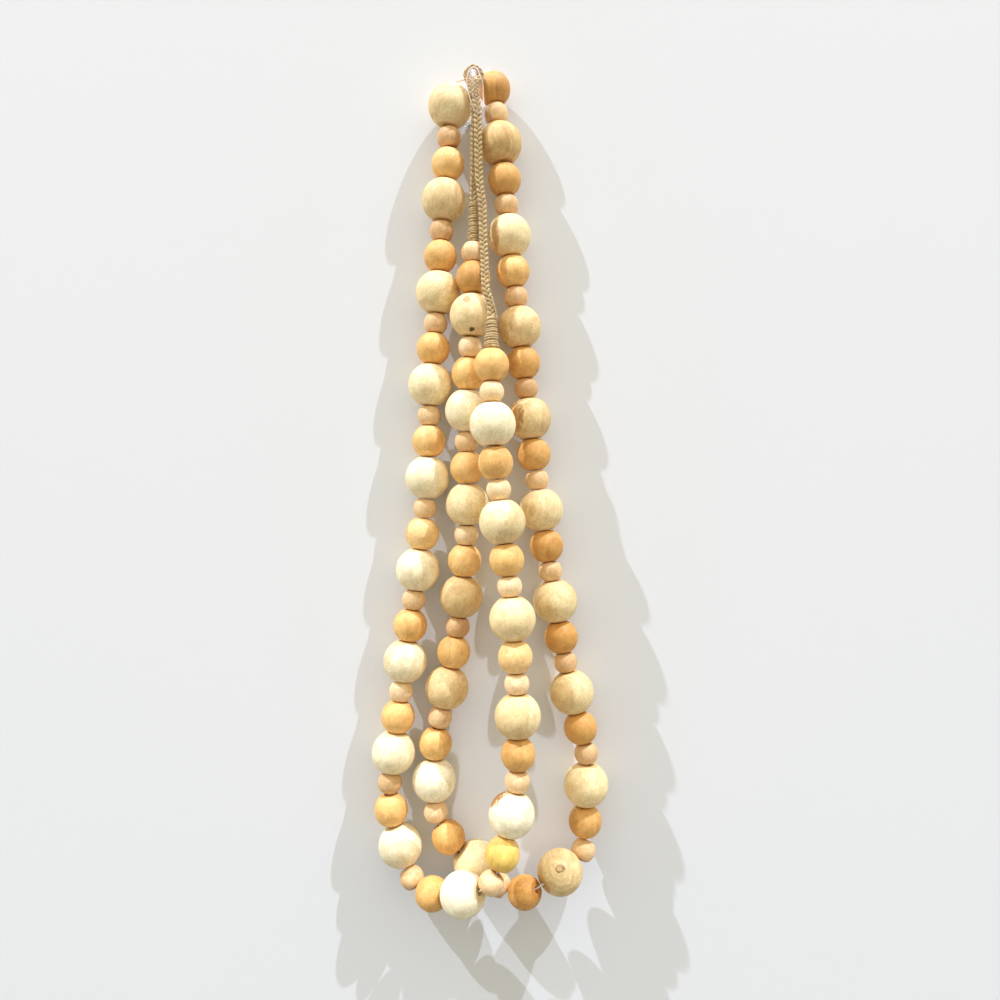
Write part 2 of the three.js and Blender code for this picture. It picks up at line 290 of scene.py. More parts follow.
def gapBetween(one, other):
    between = other["middle"] - one["middle"]
    straight = unit(between) * np.sign(between @ one["axis"])
    both = unit(one["axis"] + other["axis"])
    directions = [straight, both, one["axis"], other["axis"], unit(straight + both)]
    return max(abs(between @ d) - reachOf(one, d) - reachOf(other, d) for d in directions)


def threadBeads(serials, length, way):
    # slides each bead up to the one before it, so that they open up round a bend
    made = []
    for serial in serials:
        bead = beadAt(serial, length)
        if made:
            steps = int(strand["firstJump"] * (made[-1]["half"] + bead["half"]) / strand["marchStep"])
            length += way * steps * strand["marchStep"]
            bead = beadAt(serial, length)
        while made and gapBetween(made[-1], bead) < strand["clearance"]:
            length += way * strand["marchStep"]
            bead = beadAt(serial, length)
        made.append(bead)
    return made


beadCount = strand["before"] + strand["after"]
upToHook = threadBeads(range(strand["before"], 0, -1), pegTop - strand["slackLeft"], -1)
downFromHook = threadBeads(range(strand["before"] + 1, beadCount + 1), pegTop + strand["slackRight"], 1)
beads = upToHook[::-1] + downFromHook
print("beads threaded:", len(beads))


def makeJuteMaterial(name, dark, usual, pale):
    # Jute twine, spun and left raw: dull, with pale and dark fibres that run along each ply.
    fibre = 0.16  # mm, a small bundle of fibres; single ones of 0.02 mm would not show
    made, tree = newMaterial(name)
    place = add(tree, "Attribute", attribute_name="fibrePlace").outputs["Vector"]
    stretched = add(tree, "VectorMath", {0: place, 1: (1 / fibre, 0.35, 1)}, operation="MULTIPLY")
    streaks = add(tree, "TexNoise", {"Vector": stretched, "Scale": 1, "Detail": 4})
    patches = add(tree, "TexNoise", {"Vector": place, "Scale": 0.12, "Detail": 2})
    colour = add(tree, "ValToRGB", {"Fac": streaks.outputs["Fac"]})
    ramp = colour.color_ramp
    ramp.elements[0].position, ramp.elements[0].color = 0.3, linear(dark)
    ramp.elements[1].position, ramp.elements[1].color = 0.72, linear(pale)
    ramp.elements.new(0.5).color = linear(usual)
    shade = add(tree, "MapRange", {"Value": patches.outputs["Fac"], 1: 0.3, 2: 0.7, 3: 0.86, 4: 1.1})
    tinted = add(tree, "VectorMath", {0: colour.outputs["Color"], 1: shade}, operation="MULTIPLY")
    bump = add(tree, "Bump", {"Strength": 0.6, "Distance": 0.00012, "Height": streaks.outputs["Fac"]})
    surface = add(tree, "BsdfPrincipled", {
        "Base Color": tinted, "Roughness": 0.88, "Sheen Weight": 0.15, "Sheen Roughness": 0.5,
        "Normal": bump,
    })
    add(tree, "OutputMaterial", {"Surface": surface})
    return made


jute = makeJuteMaterial("juteTwineSpunRaw", "#7c633c", "#c0a16c", "#f3deac")
# the fine cord in the bores
paleJute = makeJuteMaterial("juteTwineBleached", "#ddd2bd", "#efe7d8", "#fbf6ec")


twineShape = {
    "lobe": 0.7,  # under 1 the plies are fuller, with a sharper groove between them
    "untwisted": 1e9,  # a lay so long that there is no twist
    "fibreShift": 7,  # times where a twine starts, so that no two have the same fibres
}


def sweep(path, radius, sides, lay, groove, plies=2, side=toRoom):
    # A twisted twine along a path. Its round section has a lobe for each ply, and the lobes turn
    # once in a lay. radius is one number, or one for each point of the path.
    tangents = unit(np.gradient(path, axis=0))
    lengths = lengthsAlong(path)
    radii = np.broadcast_to(radius, len(path))
    normal = side
    angles = 2 * math.pi * np.arange(sides) / sides
    rings, places = [], []
    for point, tangent, length, reach in zip(path, tangents, lengths, radii):
        normal = unit(normal - (normal @ tangent) * tangent)
        across = np.cross(tangent, normal)
        turn = angles - 2 * math.pi * length / lay
        lobe = reach * (1 - groove + groove * np.abs(np.cos(turn * plies / 2)) ** twineShape["lobe"])
        outward = np.cos(angles)[:, None] * normal + np.sin(angles)[:, None] * across
        rings.append(point + lobe[:, None] * outward)
        shift = np.full(sides, path[0, 0] * twineShape["fibreShift"])
        places.append(np.stack([turn * reach, np.full(sides, length), shift], axis=1))
    points = np.vstack(rings + [path[:1], path[-1:]])
    places = np.vstack(places + [places[0][:1], places[-1][:1]])
    count = len(path)
    first, last, final = count * sides, count * sides + 1, (count - 1) * sides
    caps = [(first, (c + 1) % sides, c) for c in range(sides)]
    caps += [(last, final + c, final + (c + 1) % sides) for c in range(sides)]
    return points, ringQuads(count, sides).tolist() + caps, places


def joined(parts):
    # several swept parts as one set of points, faces and fibre places
    points, faces, places, count = [], [], [], 0
    for partPoints, partFaces, partPlaces in parts:
        points.append(partPoints)
        places.append(partPlaces)
        faces += [[corner + count for corner in face] for face in partFaces]
        count += len(partPoints)
    return np.vstack(points), faces, np.vstack(places)


def twinePiece(name, parts, material, replaced=()):
    points, faces, places = joined(parts)
    made = meshFrom(name, points, faces, material, vectors={"fibrePlace": places})
    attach(made, "root")
    if replaced:
        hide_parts(*replaced)
    return made


threadCord = {
    "diameter": 1.2, "plies": 3, "lay": 4.2, "groove": 0.22, "sides": 12, "step": 0.9,
    "rise": 1.5,  # how far it stands straight out of the bores by the hook
    "lead": 6.5,  # where it is back on its route
    "inset": 3.5,  # how far inside a bore it starts to bend
    "reach": 8,  # into each collar, where it ends
    "barePoints": 9,  # over the hook
    "samples": 12,
}


def makeThreadCord():
    # the cord through every bead, straight inside each bore and bare for a short way over the peg
    inset, reach = threadCord["inset"], threadCord["reach"]
    rows = [beads[0]["middle"] - beads[0]["axis"] * (beads[0]["half"] + reach)]
    for bead in beads:
        if bead["serial"] == strand["before"] + 1:
            left = beads[strand["before"] - 1]
            first = left["length"] + left["half"] + threadCord["lead"]
            last = bead["length"] - bead["half"] - threadCord["lead"]
            rows.append(left["middle"] + left["axis"] * (left["half"] + threadCord["rise"]))
            rows += [alongRoute(length) for length in np.linspace(first, last, threadCord["barePoints"])]
            rows.append(bead["middle"] - bead["axis"] * (bead["half"] + threadCord["rise"]))
        for way in (-1, 1):
            rows.append(bead["middle"] + way * bead["axis"] * (bead["half"] - inset))
    rows.append(beads[-1]["middle"] + beads[-1]["axis"] * (beads[-1]["half"] + reach))
    path = evenly(smoothPath(rows, threadCord["samples"]), threadCord["step"])
    twine = sweep(path, threadCord["diameter"] / 2, threadCord["sides"], threadCord["lay"],
                  threadCord["groove"], plies=threadCord["plies"])
    made = twinePiece("threadCord", [twine], paleJute, ["cord_over_hook"])


makeThreadCord()
print("threading cord made")

# The twine wound round the joint of each braid, from the last bead up to the braid.
collars = {
    "A": {"bead": beads[0], "outward": -1, "topDiameter": 5.8, "endDiameter": 9, "length": 18},
    "B": {"bead": beads[-1], "outward": 1, "topDiameter": 6, "endDiameter": 6.6, "length": 23},
}
for collar in collars.values():
    bead = collar["bead"]
    collar["axis"] = bead["axis"] * collar["outward"]
    collar["start"] = bead["middle"] + collar["axis"] * (bead["half"] + strand["clearance"])
    collar["end"] = collar["start"] + collar["axis"] * collar["length"]

# Each end loop is a thin braid round the peg, whose two ends are braided on together as a thicker stem
# down to the collar. Both tables go upwards.
# Columns: x, distance out from the wall, z, width of the stem.
stemRoutes = {
    "A": [
        (7.2, 34, -117.5, 4.7),
        (6.3, 29.3, -98.5, 4.8),
        (5.4, 26, -81, 4.8),
        (5.1, 25, -68, 4.8),
        (3.8, 24.5, -58, 4.8),
        (3, 24.2, -46, 4.8),
        (2.7, 24.1, -28, 4.8),
        (2, 24, -12, 4.8),
        (0.9, 24, -5, 6),
    ],
    "B": [
        (0.4, 20.8, -52, 4.8),
        (0.6, 20.8, -28, 4.8),
        (0.4, 20.6, -12, 4.8),
        (0.4, 20.6, -5, 6),
    ],
}
# Columns: x, distance out from the wall, z, half the spacing of the eye's two sides.
eyeRoutes = {
    "A": [
        (0.8, 24, -7.5, 1.5),
        (0.4, 24, -3.5, 1.5),
        (0, 23.9, 0.8, 1.75),
        (0, 23.5, 3.4, 3.45),
        (0, 23.2, 6, 4.35),
    ],
    "B": [
        (0.5, 20.6, -7.5, 1.2),
        (0.3, 20.6, -3.5, 1.5),
        (0, 20.2, 1, 2.1),
        (0, 19.7, 6, 4),
    ],
}

braid = {
    "strands": 3,
    "footWidth": 4.4,
    "usualWidth": 4.8,  # of a stem, at which its strands swing as far as "swing" says
    "startInside": 1,  # how far inside its collar a stem starts
    "rise": 6,  # how far a stem goes straight on from its collar
    "buried": 5,  # how far the eye's two ends go down into the stem
    "crestHeight": 9.9,  # of the eye's middle line over the peg
    "thinnest": 0.35,  # how thin a stem's strands get inside the eye, out of 1
    "samples": 24,
    "step": 0.32,
    "sides": 12,
    "declaredStep": 1.2,  # between the points that follow a loop's cord
    # pitch: the length in which a strand crosses over and comes back; swing: how far to each side;
    # lift: how far to the front and back
    "stem": {"radius": 0.95, "pitch": 8.4, "swing": 1.5, "lift": 0.62, "lay": 5.5, "groove": 0.15},
    "eye": {"radius": 0.66, "pitch": 6.6, "swing": 0.95, "lift": 0.45, "lay": 3.8, "groove": 0.15},
    "diameter": 3,  # of the eye's braid
}


def braidStrands(path, kind, widths=1.0, radii=1.0):
    # three strands that swing from side to side and cross over and under each other
    sizes = braid[kind]
    tangents = unit(np.gradient(path, axis=0))
    front = unit(toRoom - (tangents @ toRoom)[:, None] * tangents)
    across = np.cross(tangents, front)
    turn = 2 * math.pi * lengthsAlong(path) / sizes["pitch"]
    parts = []
    for k in range(braid["strands"]):
        phase = turn + 2 * math.pi * k / braid["strands"]
        swing = (sizes["swing"] * widths * np.sin(phase))[:, None] * across
        lift = (sizes["lift"] * np.sin(2 * phase))[:, None] * front
        parts.append(sweep(path + swing + lift, sizes["radius"] * radii, braid["sides"], sizes["lay"],
                           sizes["groove"]))
    return parts


def stemLine(key):
    # the stem's middle line, with its width at each point
    collar = collars[key]
    foot = [collar["end"] + collar["axis"] * rise for rise in (-braid["startInside"], braid["rise"])]
    table = np.array(stemRoutes[key])
    rows = np.vstack([foot, routeRows(table[:, :3])])
    path = evenly(smoothPath(rows, braid["samples"]), braid["step"])
    reached = lengthsAlong(rows)
    widths = np.interp(lengthsAlong(path) / lengthsAlong(path)[-1], reached / reached[-1],
                       np.concatenate([[braid["footWidth"]] * 2, table[:, 3]]))
    return path, widths


def eyeLine(key):
    # the eye's middle line: up its left side, over the peg and down its right side
    rows = eyeRoutes[key]
    sides = [[(x + way * spread, out, z) for x, out, z, spread in rows] for way in (-1, 1)]
    crest = (0, rows[-1][1], braid["crestHeight"])
    whole = routeRows(sides[0] + [crest] + sides[1][::-1])
    return evenly(smoothPath(whole, braid["samples"]), braid["step"])


def makeEndLoop(key):
    stemPath, widths = stemLine(key)
    eyePath = eyeLine(key)
    lengths = lengthsAlong(stemPath)
    taper = np.clip((lengths[-1] - lengths) / braid["buried"], braid["thinnest"], 1)
    parts = braidStrands(stemPath, "stem", widths / braid["usualWidth"], taper)
    parts += braidStrands(eyePath, "eye")
    made = twinePiece("loop" + key, parts, jute, ["loop_" + key.lower()])
    return stemPath


stems = {key: makeEndLoop(key) for key in collars}
print("end loops braided")

winding = {
    "twine": 1.4, "pitch": 1.42, "lay": 2.6, "groove": 0.16, "sides": 10, "stepsPerTurn": 36,
    "slack": 0.05, "slackWave": 0.81,  # how far the turns stand off the core, and how fast that varies
    "wander": 0.3, "wanderWave": 0.37,  # how far they stray up and down it, the same way
    "core": {"sides": 24, "inset": 0.4, "steps": 12},
}


def coneRadius(collar, heights):
    # endDiameter is at the bead and topDiameter at the braid
    narrowing = collar["topDiameter"] - collar["endDiameter"]
    return (collar["endDiameter"] + narrowing * heights / collar["length"]) / 2


def makeCollar(key):
    collar = collars[key]
    axis, start, length = collar["axis"], collar["start"], collar["length"]
    side = unit(toRoom - (axis @ toRoom) * axis)
    across = np.cross(axis, side)
    radius = winding["twine"] / 2
    # the wound twine, a helix on a cone
    turns = (length - winding["twine"]) / winding["pitch"]
    angles = np.linspace(0, 2 * math.pi * turns, int(turns * winding["stepsPerTurn"]))
    strayed = winding["wander"] * np.sin(angles * winding["wanderWave"])
    heights = np.linspace(radius, length - radius, len(angles)) + strayed
    heights = np.clip(heights, radius, length - radius)
    slack = winding["slack"] * np.sin(angles * winding["slackWave"])
    reach = (coneRadius(collar, heights) - radius) * (1 + slack)
    coil = (start + heights[:, None] * axis
            + (reach * np.cos(angles))[:, None] * side + (reach * np.sin(angles))[:, None] * across)
    parts = [sweep(coil, radius, winding["sides"], winding["lay"], winding["groove"], side=side)]
    # the core that it is wound on
    core = winding["core"]
    heights = np.linspace(core["inset"], length - core["inset"], core["steps"])
    corePath = start + heights[:, None] * axis
    coreRadius = coneRadius(collar, heights) - radius
    parts.append(sweep(corePath, coreRadius, core["sides"], twineShape["untwisted"], 0))
    twinePiece("collar" + key, parts, jute, ["collar_" + key.lower()])


for key in collars:
    makeCollar(key)
print("collars wound")

# The stray fibres of the braids, and the strand that leaves loop A's stem beside its collar and frays.
fray = {
    "seed": 5,
    # columns: x, distance out from the wall, z
    "strandRoute": [(10.6, 36, -122.5), (11.3, 36.6, -126), (12.6, 36.6, -130.5), (13.4, 36.8, -134.8)],
    "strand": {"radius": 0.5, "tip": 0.7, "sides": 10, "lay": 3, "groove": 0.2, "samples": 8, "step": 0.4},
    "tuft": {"fibres": 14, "length": 3.2, "shortest": 0.4, "spread": 0.35, "curl": 0.25},
    "fibre": {"radius": 0.07, "points": 6, "sides": 3, "lay": 9},
    # every: the length of stem with one stray fibre in it; clear: how much of the stem's foot has none;
    # lean: how far one leans out, for 1 along the stem; halves: the stem's half width and half depth;
    # root: how far out one starts, out of 1
    "stray": {
        "every": 1.1, "clear": 8, "lengths": (2.5, 6), "lean": (0.15, 0.6), "curl": (-0.15, 0.3),
        "halves": (2.0, 1.2, 0), "root": 0.95,
    },
}


def looseFibre(start, way, bend, length):
    # sets off one way and bends another
    fibre = fray["fibre"]
    share = np.linspace(0, 1, fibre["points"])[:, None]
    line = start + length * (share * way + share ** 2 * bend)
    return sweep(line, fibre["radius"], fibre["sides"], fibre["lay"], 0)


def makeLooseFibres(draws):
    frayed, tuft, stray = fray["strand"], fray["tuft"], fray["stray"]
    strandPath = evenly(smoothPath(routeRows(fray["strandRoute"]), frayed["samples"]), frayed["step"])
    radii = frayed["radius"] * np.linspace(1, frayed["tip"], len(strandPath))
    parts = [sweep(strandPath, radii, frayed["sides"], frayed["lay"], frayed["groove"])]
    tip = strandPath[-1]
    down = unit(strandPath[-1] - strandPath[-3])
    for _ in range(tuft["fibres"]):
        way = unit(down + np.array([draws.gauss(0, tuft["spread"]) for _ in range(3)]))
        bend = np.array([draws.gauss(0, tuft["curl"]) for _ in range(3)])
        length = tuft["length"] * draws.uniform(tuft["shortest"], 1)
        parts.append(looseFibre(tip - down, way, bend, length))
    for path in stems.values():
        tangents = unit(np.gradient(path, axis=0))
        for spot in np.arange(stray["clear"], lengthsAlong(path)[-1], stray["every"]):
            k = int(spot / braid["step"])
            angle = draws.uniform(-0.5 * math.pi, 0.5 * math.pi)
            aside = np.array((math.sin(angle), -math.cos(angle), 0))
            way = unit(aside * draws.uniform(*stray["lean"]) + tangents[k] * draws.choice((-1, 1)))
            bend = aside * draws.uniform(*stray["curl"])
            start = path[k] + aside * np.array(stray["halves"]) * stray["root"]
            parts.append(looseFibre(start, way, bend, draws.uniform(*stray["lengths"])))
    twinePiece("looseFibres", parts, jute)


makeLooseFibres(random.Random(fray["seed"]))
print("loose fibres laid")

woodTones = {
    # raw pale wood for the large beads, warmer and darker wood for the others
    "large": {"pale": "#fff3cc", "usual": "#f9dfa6", "dark": "#dfb878"},
    "medium": {"pale": "#fdd795", "usual": "#f5c274", "dark": "#da9f50"},
    "small": {"pale": "#fbdcaa", "usual": "#f0ca94", "dark": "#dfae76"},
}
# How far a bead's tone is from the usual one of its size: towards pale (+1) or dark (-1).
# Beads are numbered from 0 at loop A, here and below.
beadTones = {
    # large
    2: 0.6, 14: 1, 17: 1, 20: 1, 23: 0.6, 26: 0.6, 29: 0.6, 32: 0.6, 47: -1, 53: -0.5, 56: -0.4,
    71: -0.1, 77: 1, 80: -0.5, 83: -0.5, 89: 0.6, 92: -0.2,
    # medium
    9: 0.6, 12: -0.4, 15: 1, 18: -0.6, 30: 0.6, 45: -0.8, 48: -0.7, 54: -0.7, 57: -0.7, 60: -0.7,
    63: -1, 66: -0.8, 69: -0.5, 72: -1, 75: -0.5, 93: -0.7,
    # small
    1: 0.6, 4: 0.6, 7: 0.6, 10: 0.6, 25: 0.6, 40: -0.7, 43: -0.7, 49: -0.6, 52: -0.6, 55: -0.6,
    64: -0.6, 67: -0.6, 82: -0.6, 85: 0.6, 91: 0.6,
}
toneSpread = 0.25  # how far the tones of the other beads stray
plainRings = 0.12  # how plainly growth rings show, out of 1
figuredBeads = {47: 1.0, 71: 0.8, 59: 0.5, 53: 0.5}
# Bored across the grain, so that the end of the log faces the room, and where the bead's middle is from
# the pith, which runs out of the wall.
endGrainBeads = {71: (1.6, 40, -5.4)}
marksPerBead = 2  # at most
# Patches of heartwood and small knots, and bands of painted shade: the darker bands down the inner sides of
# beads 38, 41, 50, 54 and 69 stand for the shadow on the side turned from their lamp.
# Columns: x, distance out and z of the mark's middle from the bead's own, its half sizes the same way, its
# colour, and how strongly it shows.
woodMarksAndShade = {
    15: [(0, 8, 0, 13, 13, 13, "#f3cb5c", 0.85)],
    14: [(-8, -2.5, 8.8, 8.6, 9, 6.2, "#a8763c", 1)],
    # painted shade down its left side
    50: [(-7.6, 7, -1, 2.2, 8, 10, "#c9975a", 0.75)],
    56: [(-9, 7, 0, 6, 8, 9, "#c08a45", 0.8), (-5, 11, 1, 1.6, 3, 5, "#8f5f2b", 0.6)],
    92: [(0.2, 8.2, -9.4, 1.6, 2.6, 1.2, "#4d3521", 0.95), (-2.6, 10.5, 7, 2.4, 3.4, 3, "#a8793f", 0.75)],
    47: [(3, 11, 0, 3, 5, 8, "#c79c5e", 0.5)],
    53: [(-1, 8, 8.8, 7, 6, 3, "#d9b070", 0.6)],
    # painted shade down its left side
    54: [(-7, 7, 0, 3.4, 5, 8, "#b9803e", 0.5)],
    71: [(-0.8, 11.4, 6.7, 2.9, 3, 2.4, "#5d4426", 0.9), (-0.8, 11.6, 6.8, 2.1, 3, 1.6, "#dcb377", 1)],
    # painted shade down its left side
    69: [(-7, 4, 0, 3.6, 6, 8, "#b57f3f", 0.5)],
    83: [(-2, 11, 5, 6, 4, 3, "#dcb77c", 0.5)],
    80: [(6, 8, 0, 5, 6, 8, "#c99a58", 0.4)],
    # painted shade down its right side
    38: [(8, 7, 0, 5, 7, 9, "#dcb87c", 0.6)],
    # painted shade down its right side
    41: [(9, 6, 0, 3.8, 8, 10, "#d3a868", 0.6)],
    45: [(4, 7, -1, 4, 6, 9, "#cf9a5c", 0.4)],
    65: [(4, 10, 5, 6, 5, 4, "#f3dcae", 0.5)],
    62: [(-5, 10, -5, 6, 5, 5, "#d8b676", 0.5)],
    74: [(-2, 8, 2, 6, 6, 8, "#f3d7a2", 0.4)],
}
woodGrain = {
    "ringSpacing": 3.4,  # mm
    "heartRadius": 17,  # mm, from the pith out to the pale sapwood
    "fibre": 0.45,  # mm, drawn coarser than real fibres so that it shows
    "speckle": 0.9,  # mm
    "endGrainAndGapShade": (0.84, 0.74, 0.6),  # how much the bored ends are darkened: partly their end grain, cut across the grain, and partly painted shade in the gaps between beads
    "tilts": (0.45, 0.3),  # radians, how far the bores lean off the grain about two axes
    "fromPith": (5, 30),  # mm, how far out in its branch a bead is cut
    "alongBranch": (-500, 500),  # mm
    "markRagged": 1.3,  # how ragged a mark's edge is, for a mark of radius 1
    "markEdge": (1.35, 1.75),  # where a mark starts to fade and where it has gone, raggedness included
    "seed": 11,
}


def makeWoodMaterial():
    # Turned hardwood, sanded and left unvarnished: a satin skin over soft mottling and faint growth rings,
    # with a browner heartwood that shows on some beads behind a clear edge, and a few knots.
    # Some marks are painted shade, and so in part are the darkened bored ends.
    fibre, speckle = 1 / woodGrain["fibre"], 1 / woodGrain["speckle"]
    made, tree = newMaterial("turnedHardwoodSanded")
    place = add(tree, "Attribute", attribute_name="grainPlace").outputs["Vector"]
    # the stain holds each bead's tone, and on its bored ends painted shade as well
    stain = add(tree, "Attribute", attribute_name="stain")
    # each layer's noise: how much it is squeezed across, along and across the grain, detail, roughness
    layers = {
        "wander": ((0.18, 0.011, 0.18), 2, 0.5),
        "fibres": ((fibre, 0.12, fibre), 4, 0.6),
        "blotches": ((0.22, 0.16, 0.22), 5, 0.65),
        "speckles": ((speckle, speckle * 0.6, speckle), 3, 0.6),
        "pores": ((2.6, 0.5, 2.6), 1, 0.5),
        "edges": ((0.7, 0.3, 0.7), 3, 0.55),
    }
    noise = {}
    for name, (squeeze, detail, roughness) in layers.items():
        vector = add(tree, "VectorMath", {0: place, 1: squeeze}, operation="MULTIPLY")
        noise[name] = add(tree, "TexNoise", {
            "Vector": vector, "Scale": 1, "Detail": detail, "Roughness": roughness}).outputs["Fac"]

    # how far a point is from the pith, which runs along Y of the grain space
    parts = add(tree, "SeparateXYZ", {0: place})
    pith = add(tree, "CombineXYZ", {0: parts.outputs["X"], 2: parts.outputs["Z"]})
    straight = add(tree, "VectorMath", {0: pith}, operation="LENGTH").outputs["Value"]
    wander = add(tree, "MapRange", {"Value": noise["wander"], 1: 0.2, 2: 0.8, 3: -2.4, 4: 2.4})
    distance = add(tree, "Math", {0: straight, 1: wander}, operation="ADD")
    turns = add(tree, "Math", {0: distance, 1: 2 * math.pi / woodGrain["ringSpacing"]},
                operation="MULTIPLY")
    rings = add(tree, "Math", {0: turns}, operation="SINE")
    ringDepth = add(tree, "Math", {0: stain.outputs["Alpha"], 1: 0.09}, operation="MULTIPLY")
    shade = add(tree, "Math", {0: rings, 1: ringDepth, 2: 1}, operation="MULTIPLY_ADD")
    heart = woodGrain["heartRadius"]
    # each row: what shades the wood, between which values, and how bright the wood is at those two
    for value, low, high, atLow, atHigh in (
        (distance, heart - 0.35, heart + 0.35, 0.86, 1.02),
        (noise["fibres"], 0.25, 0.75, 0.88, 1.1),
        (noise["blotches"], 0.25, 0.75, 0.8, 1.18),
        (noise["speckles"], 0.25, 0.75, 0.88, 1.1),
    ):
        layer = add(tree, "MapRange", {"Value": value, 1: low, 2: high, 3: atLow, 4: atHigh})
        shade = add(tree, "Math", {0: shade, 1: layer}, operation="MULTIPLY")
    # darker wood is also redder, so the shade bites harder on green and hardest on blue
    bites = [add(tree, "Math", {0: shade, 1: power}, operation="POWER") for power in (0.8, 1.15, 1.7)]
    shades = add(tree, "CombineXYZ", dict(enumerate(bites)))
    colour = add(tree, "VectorMath", {0: stain.outputs["Color"], 1: shades}, operation="MULTIPLY")
    pores = add(tree, "MapRange", {"Value": noise["pores"], 1: 0.66, 2: 0.74, 3: 0, 4: 0.3})
    # the Mix node's inputs 6 and 7 and its output 2 are the colours
    colour = add(tree, "Mix", {0: pores, 6: colour, 7: linear("#8a5a2c")}, data_type="RGBA").outputs[2]
    fadeFrom, fadeTo = woodGrain["markEdge"]
    # the marks, mixed over the wood by their strength: patches of heartwood, knots, and bands of painted
    # shade on some beads
    for number in range(marksPerBead):
        markPlace = add(tree, "Attribute", attribute_name=f"markPlace{number}").outputs["Vector"]
        markAndShadeTint = add(tree, "Attribute", attribute_name=f"markAndShadeTint{number}")
        inward = add(tree, "VectorMath", {0: markPlace}, operation="LENGTH").outputs["Value"]
        ragged = add(tree, "Math", {0: noise["edges"], 1: woodGrain["markRagged"], 2: inward},
                     operation="MULTIPLY_ADD")
        inside = add(tree, "MapRange", {"Value": ragged, 1: fadeFrom, 2: fadeTo, 3: 1, 4: 0})
        strength = add(tree, "Math", {0: inside, 1: markAndShadeTint.outputs["Alpha"]}, operation="MULTIPLY")
        tint = add(tree, "VectorMath", {0: markAndShadeTint.outputs["Color"], 1: shades}, operation="MULTIPLY")
        colour = add(tree, "Mix", {0: strength, 6: colour, 7: tint}, data_type="RGBA").outputs[2]
    height = add(tree, "Math", {0: noise["fibres"], 1: pores}, operation="SUBTRACT")
    bump = add(tree, "Bump", {"Strength": 0.25, "Distance": 0.00008, "Height": height})
    satin = add(tree, "MapRange", {"Value": noise["blotches"], 1: 0.3, 2: 0.7, 3: 0.66, 4: 0.52})
    surface = add(tree, "BsdfPrincipled", {
        "Base Color": colour, "Roughness": satin, "Normal": bump,
    })
    add(tree, "OutputMaterial", {"Surface": surface})
    return made


wood = makeWoodMaterial()


def beadProfile(bead):
    # half a section, as a closed ring: the bore, its eased lip, the flat end, the rim and the ball
    size = beadSizes[bead["kind"]]
    radius, half, rise = bead["radius"], bead["half"], bead["rise"]
    flat, shoulder = bead["flat"], bead["shoulder"]
    bore, lip = size["bore"] / 2, strand["boreLip"]
    eased = lip * 0.3  # a quarter circle's middle is about this far from its corner, both ways
    corner = np.array((radius * math.sin(bead["rim"]), half))
    fromFlat = np.array((flat, half))
    toBall = np.array((radius * math.sin(shoulder), rise * math.cos(shoulder)))
    upper = [(bore, half / 2), (bore, half - lip), (bore + eased, half - eased), (bore + lip, half)]
    upper.append(((bore + lip + flat) / 2, half))
    for share in (0, 0.25, 0.5, 0.75):
        rest = 1 - share
        upper.append(tuple(rest ** 2 * fromFlat + 2 * share * rest * corner + share ** 2 * toBall))
    arc = np.linspace(shoulder, math.pi - shoulder, size["arcSteps"] + 1)
    ball = [(radius * math.sin(a), rise * math.cos(a)) for a in arc]
    lower = [(r, -y) for r, y in upper[::-1]]
    return np.array(upper + ball + lower + [(bore, 0)])


def turnBetween(axis, spin):
    # the rotation that stands a bead made along Y up along axis, after a spin about Y
    turn = Vector((0, 1, 0)).rotation_difference(Vector(axis)).to_matrix()
    return np.array(turn @ Matrix.Rotation(spin, 3, "Y"))


def beadMarks(bead, points):
    # where each point is in the space of the bead's marks, in which a mark is a ball of radius 1
    table = woodMarksAndShade.get(bead["serial"] - 1, [])
    made = []
    for number in range(marksPerBead):
        if number < len(table):
            x, out, z, halfX, halfOut, halfZ, colour, strength = table[number]
            place = (points - bead["middle"] - (x, -out, z)) / (halfX, halfOut, halfZ)
            tint = linear(colour)[:3] + [strength]
        else:
            place, tint = np.full(points.shape, 9.0), [1, 1, 1, 0]  # far from any mark
        made.append((place, np.tile(tint, (len(points), 1))))
    return made


